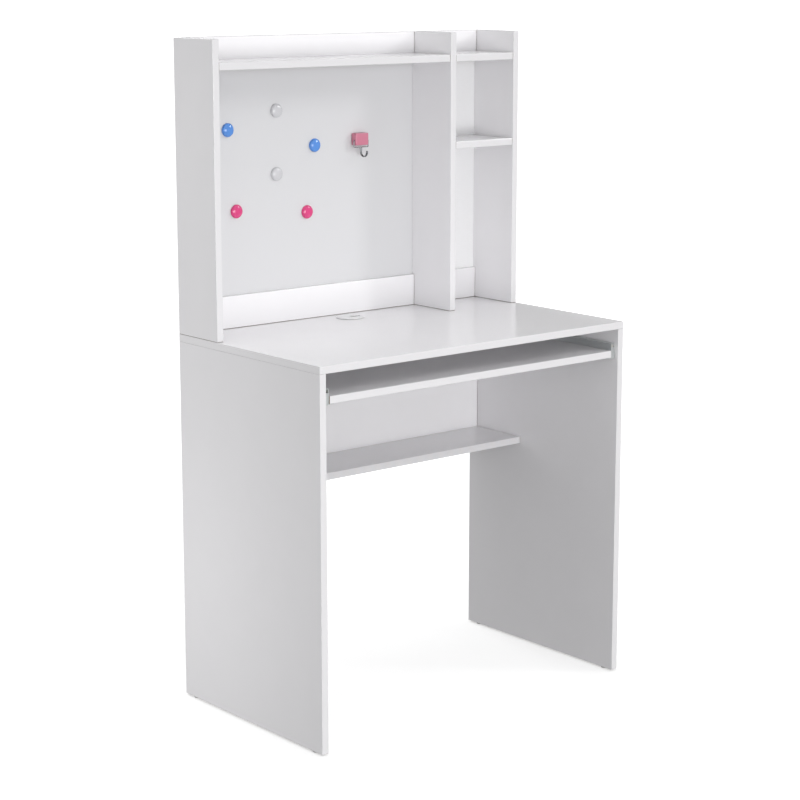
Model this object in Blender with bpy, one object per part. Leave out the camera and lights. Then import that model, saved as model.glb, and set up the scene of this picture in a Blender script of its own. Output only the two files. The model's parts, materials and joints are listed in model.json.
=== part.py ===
"""White computer desk with a sliding keyboard tray and a hutch with a magnet board.

Metres, +Z up, front towards -Y. The origin lies on the floor under the middle of the desk.
"""

import math

import bmesh
import bpy
from mathutils import Matrix, Vector

# Whole desk
WIDTH = 0.800
DEPTH = 0.464
DESK_HEIGHT = 0.762
HUTCH_HEIGHT = 0.591
BOARD = 0.015
EDGE_ROUND = 0.0008
FLUSH_ROUND = 0.0003
EDGE_SEGMENTS = 2
ROUND_SIDES = 24
SMALL_SIDES = 16
LARGE_SIDES = 32
ARC_STEPS = 8
SHARP_ANGLE = math.radians(35)
FIT = 0.0003

# Glides under the side panels
GLIDE_HEIGHT = 0.003
GLIDE_RADIUS = 0.0065
GLIDE_INSET = 0.030
NAIL_RADIUS = 0.0012
NAIL_LENGTH = 0.016

# Panel and shelf below the desktop
MODESTY_INSET = 0.011
LOWER_SHELF_TOP = 0.467
LOWER_SHELF_DEPTH = 0.142

# Keyboard tray and its roller slides
TRAY_DROP = 0.045
TRAY_SETBACK = 0.006
TRAY_DEPTH = 0.300
SLIDE_GAP = 0.0125
SLIDE_STEEL = 0.0012
SLIDE_SETBACK = 0.002
CHANNEL_DROP = 0.003
CHANNEL_WIDTH = 0.0097
TRAY_LIP = 0.012
ROLLER_RADIUS = 0.009
ROLLER_WIDTH = 0.007
ROLLER_CHAMFER = 0.0008
ROLLER_RISE = 0.0115
AXLE_RADIUS = 0.0025
AXLE_INSET = 0.012
RIVET_RADIUS = 0.0038
RIVET_HEAD = 0.0008
FLAG_HEIGHT = 0.023
FLAG_GAP = 0.0015
FLAG_ROUND = 0.0025

# Hutch
HUTCH_DEPTH = 0.134
NARROW_BAY = 0.163
RAIL_HEIGHT = 0.067
TOP_LIP = 0.0455
SMALL_SHELF_RISE = 0.362
SHELF_SETBACK = 0.001
PANEL_RECESS = 0.007
SHEET_STEEL = 0.0012
FIBREBOARD = 0.003
GROOVE_DEPTH = 0.006
GROOVE_PLAY = 0.001

# Cable grommet
GROMMET_X = -0.009
GROMMET_INSET = 0.062
GROMMET_RADIUS = 0.030
SLEEVE_RADIUS = 0.0265
SLEEVE_WALL = 0.0015
LEDGE = 0.0025
FLANGE_THICKNESS = 0.0018
CAP_THICKNESS = 0.0016
CAP_TURN = math.radians(-4)
NOTCH_WIDTH = 0.011
NOTCH_END = 0.002

# Round magnets: middle across the desk and height above the desktop
MAGNET_RADIUS = 0.014
MAGNET_RIM = 0.003
MAGNET_HEIGHT = 0.008
MAGNET_PLACES = {
    "blue_magnet_left": (-0.280, 0.404),
    "blue_magnet_right": (-0.060, 0.362),
    "white_magnet_upper": (-0.158, 0.438),
    "white_magnet_lower": (-0.159, 0.3085),
    "pink_magnet_left": (-0.261, 0.2385),
    "pink_magnet_right": (-0.081, 0.2245),
}

# Magnet hook
HOOK_X = 0.0555
HOOK_RISE = 0.3695
HOOK_WIDTH = 0.0345
HOOK_DEPTH = 0.016
HOOK_HEIGHT = 0.0255
HOOK_ROUND = 0.002
HOOK_MAGNET_RADIUS = 0.010
HOOK_MAGNET_THICKNESS = 0.005
PIVOT_DROP = 0.002
PIVOT_FORWARD = 0.0035
PIVOT_HOLE = 0.006
WIRE_RADIUS = 0.0011
WIRE_SIDES = 8
WIRE_GAP = 0.00275
WIRE_STEM = 0.0097
WIRE_BEND = 0.010
WIRE_TIP = 0.002
WIRE_CORNER = 0.002
CORNER_STEPS = 4

# Cam bolts and cam locks between the desktop and the side panels
CAM_RADIUS = 0.0073
CAM_DEPTH = 0.0122
CAM_DROP = 0.024
CAM_INSET = 0.130
CAM_CROSS = 0.0064
CAM_CROSS_WIDTH = 0.0014
CAM_CROSS_DEPTH = 0.0016
BOLT_THREAD_RADIUS = 0.003
BOLT_THREAD_LENGTH = 0.010
BOLT_SHANK_RADIUS = 0.0034
BOLT_NECK_RADIUS = 0.002
BOLT_HEAD_RADIUS = 0.0032
BOLT_HEAD_LENGTH = 0.003
BOLT_NECK_LENGTH = 0.004

# Dowels and screws
DOWEL_RADIUS = 0.004
DOWEL_CHAMFER = 0.001
DOWEL_SHORT = 0.010
DOWEL_LONG = 0.020
DOWEL_INSET = 0.025
SCREW_RADIUS = 0.002
SCREW_LENGTH = 0.045
SCREW_HEAD_RADIUS = 0.004
SCREW_HEAD_HEIGHT = 0.0025
SCREW_INSET = 0.035

# How far a cutting shape reaches past the face that it cuts
PAST = 0.002

# Planes that the pieces share
INNER = WIDTH / 2 - BOARD
FRONT = -DEPTH / 2
BACK = DEPTH / 2
UNDER = DESK_HEIGHT - BOARD
MODESTY_FRONT = BACK - MODESTY_INSET - BOARD
LOWER_SHELF_BACK = MODESTY_FRONT - FIT
LOWER_SHELF_FRONT = LOWER_SHELF_BACK - LOWER_SHELF_DEPTH
TRAY_TOP = UNDER - TRAY_DROP
TRAY_BOTTOM = TRAY_TOP - BOARD
TRAY_FRONT = FRONT + TRAY_SETBACK
TRAY_BACK = TRAY_FRONT + TRAY_DEPTH
HUTCH_BASE = DESK_HEIGHT + FIT
HUTCH_TOP = DESK_HEIGHT + HUTCH_HEIGHT
HUTCH_FRONT = BACK - HUTCH_DEPTH
RAIL_FRONT = BACK - BOARD
PANEL_FRONT = RAIL_FRONT + PANEL_RECESS
DIVIDER_RIGHT = INNER - NARROW_BAY
DIVIDER_LEFT = DIVIDER_RIGHT - BOARD
KICK_TOP = HUTCH_BASE + RAIL_HEIGHT
TOP_RAIL_BOTTOM = HUTCH_TOP - RAIL_HEIGHT
TOP_SHELF = HUTCH_TOP - TOP_LIP
SMALL_SHELF = DESK_HEIGHT + SMALL_SHELF_RISE

SIDES = {"left": -1, "right": 1}


def clear_scene():
    """Removes whatever the scene holds."""
    for obj in list(bpy.data.objects):
        bpy.data.objects.remove(obj, do_unlink=True)


def linear(channel):
    """Turns one sRGB channel, 0 to 1, into linear light."""
    if channel <= 0.04045:
        return channel / 12.92
    return ((channel + 0.055) / 1.055) ** 2.4


def material(name, colour, roughness, metallic=0.0):
    """A Principled material from an sRGB hex colour."""
    made = bpy.data.materials.new(name)
    made.use_nodes = True
    channels = [linear(int(colour[i:i + 2], 16) / 255) for i in (1, 3, 5)]
    shader = made.node_tree.nodes["Principled BSDF"]
    shader.inputs["Base Color"].default_value = (*channels, 1.0)
    shader.inputs["Roughness"].default_value = roughness
    shader.inputs["Metallic"].default_value = metallic
    made.diffuse_color = (*channels, 1.0)
    return made


def add_object(name, shape, finish, origin, smooth=False):
    """Makes an object from a bmesh in desk coordinates, with its origin at the given point."""
    bmesh.ops.translate(shape, verts=shape.verts, vec=-Vector(origin))
    bmesh.ops.recalc_face_normals(shape, faces=shape.faces)
    mesh = bpy.data.meshes.new(name)
    shape.to_mesh(mesh)
    shape.free()
    if smooth:
        mesh.shade_smooth()
        mesh.set_sharp_from_angle(angle=SHARP_ANGLE)
    if finish is not None:
        mesh.materials.append(finish)
    obj = bpy.data.objects.new(name, mesh)
    obj.location = origin
    bpy.context.scene.collection.objects.link(obj)
    return obj


def add_tool(name, shape):
    """A hidden shape that other pieces are cut by or joined with."""
    tool = add_object(name, shape, None, (0, 0, 0))
    tool.hide_render = True
    tool.display_type = "WIRE"
    return tool


def combine(obj, tool, operation):
    """Cuts a piece by a hidden shape, or joins the shape to it."""
    step = obj.modifiers.new(tool.name, "BOOLEAN")
    step.operation = operation
    step.solver = "EXACT"
    step.object = tool


def box(low, high, rounding=0.0):
    """A box between two corners, its edges rounded."""
    low = Vector(low)
    high = Vector(high)
    shape = bmesh.new()
    bmesh.ops.create_cube(shape, size=1.0)
    bmesh.ops.scale(shape, vec=high - low, verts=shape.verts)
    if rounding > 0:
        bmesh.ops.bevel(
            shape, geom=shape.edges[:], offset=rounding, segments=EDGE_SEGMENTS, profile=0.5, affect="EDGES")
    bmesh.ops.translate(shape, vec=(low + high) / 2, verts=shape.verts)
    return shape


def cylinder(start, end, radius, sides=ROUND_SIDES):
    """A round rod between two points."""
    start = Vector(start)
    run = Vector(end) - start
    turn = run.to_track_quat("Z", "Y").to_matrix().to_4x4()
    shape = bmesh.new()
    bmesh.ops.create_cone(
        shape, cap_ends=True, segments=sides, radius1=radius, radius2=radius, depth=run.length,
        matrix=Matrix.Translation(start + run / 2) @ turn)
    return shape


def turned(profile, base, direction, closed=False, sides=ROUND_SIDES):
    """A turned piece: (radius, height) points spun about an axis through base."""
    shape = bmesh.new()
    points = [shape.verts.new((radius, 0, height)) for radius, height in profile]
    ends = points[1:] + points[:1] if closed else points[1:]
    edges = [shape.edges.new(pair) for pair in zip(points, ends)]
    bmesh.ops.spin(
        shape, geom=points + edges, cent=(0, 0, 0), axis=(0, 0, 1), angle=2 * math.pi, steps=sides,
        use_merge=True)
    bmesh.ops.remove_doubles(shape, verts=shape.verts, dist=FIT / 30)
    turn = Vector(direction).to_track_quat("Z", "Y").to_matrix().to_4x4()
    bmesh.ops.transform(shape, matrix=Matrix.Translation(base) @ turn, verts=shape.verts)
    return shape


def prism(outline, start, end):
    """An (x, z) outline pushed along Y from start to end."""
    shape = bmesh.new()
    face = shape.faces.new([shape.verts.new((x, start, z)) for x, z in outline])
    pushed = bmesh.ops.extrude_face_region(shape, geom=[face])["geom"]
    moved = [item for item in pushed if isinstance(item, bmesh.types.BMVert)]
    bmesh.ops.translate(shape, vec=(0, end - start, 0), verts=moved)
    return shape


def round_corners(points, radius):
    """Points along a route, with each corner turned into a smooth bend."""
    route = [Vector(points[0])]
    for before, corner, after in zip(points, points[1:], points[2:]):
        corner = Vector(corner)
        back = Vector(before) - corner
        onward = Vector(after) - corner
        reach = min(radius, back.length / 2, onward.length / 2)
        start = corner + back.normalized() * reach
        end = corner + onward.normalized() * reach
        for step in range(CORNER_STEPS + 1):
            part = step / CORNER_STEPS
            bend = start * (1 - part) ** 2 + corner * 2 * part * (1 - part) + end * part ** 2
            if (bend - route[-1]).length > FIT:
                route.append(bend)
    route.append(Vector(points[-1]))
    return route


def wire(route, radius):
    """A round wire along a route, closed at both ends."""
    shape = bmesh.new()
    rings = []
    across = None
    for index, point in enumerate(route):
        ahead = route[min(index + 1, len(route) - 1)] - route[max(index - 1, 0)]
        ahead.normalize()
        if across is None:
            across = ahead.orthogonal()
        across = (across - ahead * across.dot(ahead)).normalized()
        other = ahead.cross(across)
        angles = [2 * math.pi * side / WIRE_SIDES for side in range(WIRE_SIDES)]
        rings.append([
            shape.verts.new(point + (across * math.cos(angle) + other * math.sin(angle)) * radius)
            for angle in angles])
    for ring, following in zip(rings, rings[1:]):
        for side in range(WIRE_SIDES):
            onward = (side + 1) % WIRE_SIDES
            shape.faces.new((ring[side], ring[onward], following[onward], following[side]))
    shape.faces.new(rings[0])
    shape.faces.new(rings[-1])
    return shape


def board(name, low, high, finish, rounding=EDGE_ROUND):
    """A flat board with slightly rounded edges, its origin in its middle."""
    middle = (Vector(low) + Vector(high)) / 2
    thickness = min(top - bottom for bottom, top in zip(low, high))
    return add_object(name, box(low, high, min(rounding, thickness / 4)), finish, middle)


def build_desk(finish):
    """Desktop, side panels, modesty panel, lower shelf and keyboard tray."""
    made = {}
    made["desktop"] = board(
        "desktop", (-WIDTH / 2, FRONT, UNDER), (WIDTH / 2, BACK, DESK_HEIGHT), finish["melamine"],
        FLUSH_ROUND)
    for name, side in SIDES.items():
        faces = sorted((side * WIDTH / 2, side * INNER))
        made[name] = board(
            f"{name}_side_panel", (faces[0], FRONT, GLIDE_HEIGHT + FIT), (faces[1], BACK, UNDER - FIT),
            finish["melamine"], FLUSH_ROUND)
    reach = INNER - FIT
    board(
        "modesty_panel", (-reach, MODESTY_FRONT, LOWER_SHELF_TOP - BOARD),
        (reach, MODESTY_FRONT + BOARD, UNDER - FIT), finish["melamine"])
    made["shelf"] = board(
        "lower_shelf", (-reach, LOWER_SHELF_FRONT, LOWER_SHELF_TOP - BOARD),
        (reach, LOWER_SHELF_BACK, LOWER_SHELF_TOP), finish["melamine"])
    tray_reach = INNER - SLIDE_GAP
    board(
        "keyboard_tray", (-tray_reach, TRAY_FRONT, TRAY_BOTTOM), (tray_reach, TRAY_BACK, TRAY_TOP),
        finish["melamine"])
    return made


def build_hutch(finish):
    """Hutch sides, divider, shelves and the rails across its back."""
    made = {}
    for name, side in SIDES.items():
        faces = sorted((side * WIDTH / 2, side * INNER))
        made[name] = board(
            f"hutch_{name}_side", (faces[0], HUTCH_FRONT, HUTCH_BASE), (faces[1], BACK, HUTCH_TOP),
            finish["melamine"])
    made["divider"] = board(
        "hutch_divider", (DIVIDER_LEFT, HUTCH_FRONT, HUTCH_BASE), (DIVIDER_RIGHT, BACK, HUTCH_TOP),
        finish["melamine"])
    bays = {"left": (-INNER + FIT, DIVIDER_LEFT - FIT), "right": (DIVIDER_RIGHT + FIT, INNER - FIT)}
    shelf_front = HUTCH_FRONT + SHELF_SETBACK
    for bay, (start, end) in bays.items():
        board(
            f"hutch_top_shelf_{bay}", (start, shelf_front, TOP_SHELF - BOARD),
            (end, RAIL_FRONT - FIT, TOP_SHELF), finish["melamine"])
        made[f"kick_{bay}"] = board(
            f"hutch_kick_rail_{bay}", (start, RAIL_FRONT, HUTCH_BASE), (end, BACK, KICK_TOP),
            finish["melamine"])
        made[f"top_{bay}"] = board(
            f"hutch_top_rail_{bay}", (start, RAIL_FRONT, TOP_RAIL_BOTTOM), (end, BACK, HUTCH_TOP),
            finish["melamine"])
    start, end = bays["right"]
    board(
        "hutch_small_shelf", (start, shelf_front, SMALL_SHELF - BOARD), (end, PANEL_FRONT - FIT, SMALL_SHELF),
        finish["melamine"])
    return made


def build_back_panels(hutch, finish):
    """Magnet board and back panel, each held in a groove in the boards round it."""
    panels = {
        "magnet_board": (
            -INNER, DIVIDER_LEFT, SHEET_STEEL, "board_steel", ("left", "divider", "kick_left", "top_left")),
        "hutch_back_panel": (
            DIVIDER_RIGHT, INNER, FIBREBOARD, "fibreboard", ("divider", "right", "kick_right", "top_right")),
    }
    held = GROOVE_DEPTH - GROOVE_PLAY
    for name, (start, end, thickness, slot, neighbours) in panels.items():
        low = Vector((start - held, PANEL_FRONT, KICK_TOP - held))
        high = Vector((end + held, PANEL_FRONT + thickness, TOP_RAIL_BOTTOM + held))
        board(name, low, high, finish[slot])
        play = Vector((GROOVE_PLAY, FIT, GROOVE_PLAY))
        groove = add_tool(f"{name}_groove", box(low - play, high + play))
        for neighbour in neighbours:
            combine(hutch[neighbour], groove, "DIFFERENCE")


def build_glides(desk, finish):
    """Nail-in glides under the front and back of each side panel."""
    places = {"front": FRONT + GLIDE_INSET, "back": BACK - GLIDE_INSET}
    for name, side in SIDES.items():
        for end, y in places.items():
            foot = Vector((side * (INNER + BOARD / 2), y, 0))
            profile = [
                (0, 0), (GLIDE_RADIUS - GLIDE_HEIGHT / 3, 0), (GLIDE_RADIUS, GLIDE_HEIGHT / 3),
                (GLIDE_RADIUS, GLIDE_HEIGHT), (NAIL_RADIUS, GLIDE_HEIGHT),
                (NAIL_RADIUS, GLIDE_HEIGHT + NAIL_LENGTH), (0, GLIDE_HEIGHT + NAIL_LENGTH + NAIL_RADIUS)]
            glide = turned(profile, foot, (0, 0, 1), sides=SMALL_SIDES)
            add_object(f"glide_{name}_{end}", glide, finish["glide_plastic"], foot, smooth=True)
            hole_top = GLIDE_HEIGHT + NAIL_LENGTH + NAIL_RADIUS + FIT
            hole = cylinder(foot, foot + Vector((0, 0, hole_top)), NAIL_RADIUS + FIT, sides=SMALL_SIDES)
            combine(desk[name], add_tool(f"glide_hole_{name}_{end}", hole), "DIFFERENCE")


def build_slide(name, side, finish):
    """One roller slide: desk rail and front roller, tray rail and rear roller."""

    def across(distance):
        """The X of a point this far in from the side panel's inner face."""
        return side * (INNER - distance)

    rail_front = TRAY_FRONT + SLIDE_SETBACK
    rail_back = TRAY_BACK
    channel_bottom = TRAY_BOTTOM - CHANNEL_DROP
    channel_top = channel_bottom + 2 * (SLIDE_STEEL + ROLLER_RADIUS + FIT)
    rear_axle = channel_bottom + SLIDE_STEEL + FIT + ROLLER_RADIUS
    front_axle = rear_axle + ROLLER_RISE
    tray_web_top = front_axle + ROLLER_RADIUS + FIT + SLIDE_STEEL
    tray_web = SLIDE_GAP - FIT - SLIDE_STEEL
    desk_web = FIT + SLIDE_STEEL
    roller_near = desk_web + RIVET_HEAD
    roller_far = roller_near + ROLLER_WIDTH
    tab_back = rail_front + 2 * AXLE_INSET
    half = SLIDE_STEEL / 2
    desk_front = rail_front + SLIDE_STEEL

    def flat(low, high):
        """A box between two (distance in, y, z) corners."""
        ends = sorted((across(low[0]), across(high[0])))
        return box((ends[0], low[1], low[2]), (ends[1], high[1], high[2]))

    def rod(near, far, y, z, radius):
        """A round rod along X between two distances in."""
        return cylinder((across(near), y, z), (across(far), y, z), radius, sides=SMALL_SIDES)

    flange_edge = FIT + CHANNEL_WIDTH
    flange_top = channel_bottom + SLIDE_STEEL
    lower_flange = flat((FIT, desk_front, channel_bottom), (flange_edge, rail_back, flange_top))
    desk_rail = add_object(
        f"{name}_desk_rail", lower_flange, finish["zinc_steel"], (across(FIT), desk_front, channel_bottom))
    tab_top = front_axle + RIVET_RADIUS
    web = prism([
        (desk_front + half, channel_bottom + half), (rail_back - half, channel_bottom + half),
        (rail_back - half, channel_top - half), (tab_back, channel_top - half),
        (tab_back - AXLE_INSET / 2, tab_top), (desk_front + half, tab_top),
    ], 0, SLIDE_STEEL - FIT / 3)
    stand_across = Matrix(((0, side, 0, across(desk_web)), (1, 0, 0, 0), (0, 0, 1, 0), (0, 0, 0, 1)))
    bmesh.ops.transform(web, matrix=stand_across, verts=web.verts)
    combine(desk_rail, add_tool(f"{name}_desk_web", web), "UNION")
    upper_flange = flat((FIT, tab_back, channel_top - SLIDE_STEEL), (flange_edge, rail_back, channel_top))
    combine(desk_rail, add_tool(f"{name}_desk_flange", upper_flange), "UNION")
    front_y = rail_front + AXLE_INSET
    head_near = roller_far + FIT
    front_rod = rod(desk_web - half, head_near + RIVET_HEAD / 2, front_y, front_axle, AXLE_RADIUS)
    combine(desk_rail, add_tool(f"{name}_front_axle", front_rod), "UNION")
    head = rod(head_near, head_near + RIVET_HEAD, front_y, front_axle, RIVET_RADIUS)
    combine(desk_rail, add_tool(f"{name}_front_rivet", head), "UNION")

    roller = [
        (AXLE_RADIUS + FIT, 0), (ROLLER_RADIUS - ROLLER_CHAMFER, 0), (ROLLER_RADIUS, ROLLER_CHAMFER),
        (ROLLER_RADIUS, ROLLER_WIDTH - ROLLER_CHAMFER), (ROLLER_RADIUS - ROLLER_CHAMFER, ROLLER_WIDTH),
        (AXLE_RADIUS + FIT, ROLLER_WIDTH)]
    rear_y = rail_back - AXLE_INSET
    for end, y, z in (("front", front_y, front_axle), ("rear", rear_y, rear_axle)):
        place = Vector((across(roller_near), y, z))
        add_object(
            f"{name}_{end}_roller", turned(roller, place, (-side, 0, 0), closed=True), finish["nylon"], place,
            smooth=True)

    lip_top = TRAY_BOTTOM - FIT
    lip_bottom = lip_top - SLIDE_STEEL
    lip_edge = SLIDE_GAP + TRAY_LIP
    web_face = tray_web + SLIDE_STEEL
    section = [
        (lip_edge, lip_bottom), (lip_edge, lip_top), (web_face, lip_top), (web_face, tray_web_top),
        (roller_near, tray_web_top), (roller_near, tray_web_top - SLIDE_STEEL),
        (tray_web, tray_web_top - SLIDE_STEEL), (tray_web, lip_bottom)]
    tray_rail = add_object(
        f"{name}_tray_rail", prism([(across(d), z) for d, z in section], rail_front, rail_back),
        finish["zinc_steel"], (across(tray_web), rail_front, lip_bottom))
    rear_rod = rod(roller_near - RIVET_HEAD / 2, tray_web + half, rear_y, rear_axle, AXLE_RADIUS)
    combine(tray_rail, add_tool(f"{name}_rear_axle", rear_rod), "UNION")
    collar = rod(head_near, tray_web + half / 2, rear_y, rear_axle, RIVET_RADIUS)
    combine(tray_rail, add_tool(f"{name}_rear_collar", collar), "UNION")
    bent = web_face - FIT / 3
    outline = flag_outline(bent, lip_bottom + FIT / 3, lip_bottom + FLAG_HEIGHT)
    flag = prism([(across(d), z) for d, z in outline], rail_front - half, rail_front + half)
    combine(tray_rail, add_tool(f"{name}_flag", flag), "UNION")


def flag_outline(bent, bottom, top):
    """(distance in, z) outline of the flag that closes a tray rail's front end, round at its free edge."""
    edge = FLAG_GAP + FLAG_ROUND
    angles = [math.pi / 2 * step / ARC_STEPS for step in range(ARC_STEPS + 1)]
    outline = [(bent, bottom)]
    for angle in angles:
        outline.append((edge - FLAG_ROUND * math.sin(angle), bottom + FLAG_ROUND * (1 - math.cos(angle))))
    for angle in angles:
        outline.append((edge - FLAG_ROUND * math.cos(angle), top - FLAG_ROUND * (1 - math.sin(angle))))
    outline.append((bent, top))
    return outline


def build_grommet(desktop, finish):
    """Cable grommet: a sleeve through the desktop and a notched cap that turns in it."""
    middle = Vector((GROMMET_X, BACK - GROMMET_INSET, DESK_HEIGHT))
    hole = cylinder(
        middle - Vector((0, 0, BOARD + PAST)), middle + Vector((0, 0, PAST)), SLEEVE_RADIUS + FIT,
        sides=LARGE_SIDES)
    combine(desktop, add_tool("grommet_hole", hole), "DIFFERENCE")
    recess = SLEEVE_RADIUS - SLEEVE_WALL
    bore = recess - LEDGE
    top = FIT + FLANGE_THICKNESS
    ledge = top - CAP_THICKNESS - FIT
    edge = FLANGE_THICKNESS / 3
    sleeve = [
        (recess, top), (recess, ledge), (bore, ledge), (bore, -BOARD), (SLEEVE_RADIUS, -BOARD),
        (SLEEVE_RADIUS, FIT), (GROMMET_RADIUS, FIT), (GROMMET_RADIUS, top - edge),
        (GROMMET_RADIUS - edge, top)]
    sleeve_shape = turned(sleeve, middle, (0, 0, 1), closed=True, sides=LARGE_SIDES)
    add_object("grommet_sleeve", sleeve_shape, finish["grommet_plastic"], middle, smooth=True)
    rim = recess - FIT
    bottom = ledge + FIT
    cap_top = bottom + CAP_THICKNESS
    disc = turned(
        [(0, bottom), (rim, bottom), (rim, cap_top), (0, cap_top)], middle, (0, 0, 1), sides=LARGE_SIDES)
    cap = add_object("grommet_cap", disc, finish["grommet_plastic"], middle, smooth=True)
    cap.rotation_euler.z = CAP_TURN
    notch = notch_shape(rim)
    turn = Matrix.Translation(middle) @ Matrix.Rotation(CAP_TURN, 4, "Z")
    bmesh.ops.transform(notch, matrix=turn, verts=notch.verts)
    combine(cap, add_tool("grommet_notch", notch), "DIFFERENCE")


def notch_shape(rim):
    """A notch from just past the origin out through a rim on the right, standing along Z."""
    radius = NOTCH_WIDTH / 2
    outline = [(rim + PAST, -radius), (rim + PAST, radius)]
    for step in range(ARC_STEPS + 1):
        angle = math.pi * (step / ARC_STEPS + 0.5)
        outline.append((radius - NOTCH_END + radius * math.cos(angle), radius * math.sin(angle)))
    shape = prism(outline, -CAP_THICKNESS - PAST, CAP_THICKNESS + PAST)
    bmesh.ops.rotate(shape, cent=(0, 0, 0), matrix=Matrix.Rotation(math.pi / 2, 3, "X"), verts=shape.verts)
    return shape


def build_magnets(finish):
    """Round dome magnets on the magnet board."""
    dome = MAGNET_HEIGHT - MAGNET_RIM
    profile = [(0, 0), (MAGNET_RADIUS, 0)]
    for step in range(ARC_STEPS):
        angle = math.pi / 2 * step / ARC_STEPS
        profile.append((MAGNET_RADIUS * math.cos(angle), MAGNET_RIM + dome * math.sin(angle)))
    profile.append((0, MAGNET_HEIGHT))
    for name, (x, rise) in MAGNET_PLACES.items():
        seat = Vector((x, PANEL_FRONT - FIT, DESK_HEIGHT + rise))
        colour = name.split("_")[0]
        add_object(name, turned(profile, seat, (0, -1, 0)), finish[f"{colour}_plastic"], seat, smooth=True)


def build_hook(finish):
    """Magnet hook: a body with a magnet in its back, and a wire hook hung from its sides."""
    seat = PANEL_FRONT - FIT
    middle = Vector((HOOK_X, seat - HOOK_DEPTH / 2, DESK_HEIGHT + HOOK_RISE))
    size = Vector((HOOK_WIDTH, HOOK_DEPTH, HOOK_HEIGHT))
    body = add_object(
        "hook_body", box(middle - size / 2, middle + size / 2, HOOK_ROUND), finish["hook_plastic"], middle)
    pocket_front = Vector((middle.x, seat - HOOK_MAGNET_THICKNESS - FIT, middle.z))
    pocket = cylinder(pocket_front, Vector((middle.x, seat + PAST, middle.z)), HOOK_MAGNET_RADIUS + FIT)
    combine(body, add_tool("hook_pocket", pocket), "DIFFERENCE")
    disc_front = pocket_front + Vector((0, FIT, 0))
    disc_back = Vector((middle.x, seat, middle.z))
    disc = cylinder(disc_front, disc_back, HOOK_MAGNET_RADIUS)
    add_object("hook_magnet", disc, finish["ferrite"], disc_front, smooth=True)

    pivot = middle - Vector((0, PIVOT_FORWARD, PIVOT_DROP))
    half = HOOK_WIDTH / 2
    for name, side in SIDES.items():
        start = pivot + Vector((side * (half - PIVOT_HOLE), 0, 0))
        end = pivot + Vector((side * (half + PAST), 0, 0))
        hole = cylinder(start, end, WIRE_RADIUS + FIT, sides=SMALL_SIDES)
        combine(body, add_tool(f"hook_hole_{name}", hole), "DIFFERENCE")
    arm = half + WIRE_RADIUS + 2 * FIT
    strand = WIRE_RADIUS + FIT
    bar = PIVOT_DROP - HOOK_HEIGHT / 2 - WIRE_GAP - WIRE_RADIUS
    low = bar - WIRE_STEM
    half_route = [
        (half - PIVOT_HOLE + FIT, 0, 0), (arm, 0, 0), (arm, 0, bar), (strand, 0, bar), (strand, 0, low)]
    for step in range(1, ARC_STEPS):
        angle = math.pi * step / ARC_STEPS
        half_route.append((strand, WIRE_BEND * (math.cos(angle) - 1), low - WIRE_BEND * math.sin(angle)))
    half_route.append((strand, -2 * WIRE_BEND, low + WIRE_TIP))
    other_half = [(-x, y, z) for x, y, z in reversed(half_route)]
    route = round_corners([Vector(point) + pivot for point in half_route + other_half], WIRE_CORNER)
    add_object("hook_wire", wire(route, WIRE_RADIUS), finish["chrome_wire"], pivot, smooth=True)


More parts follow.
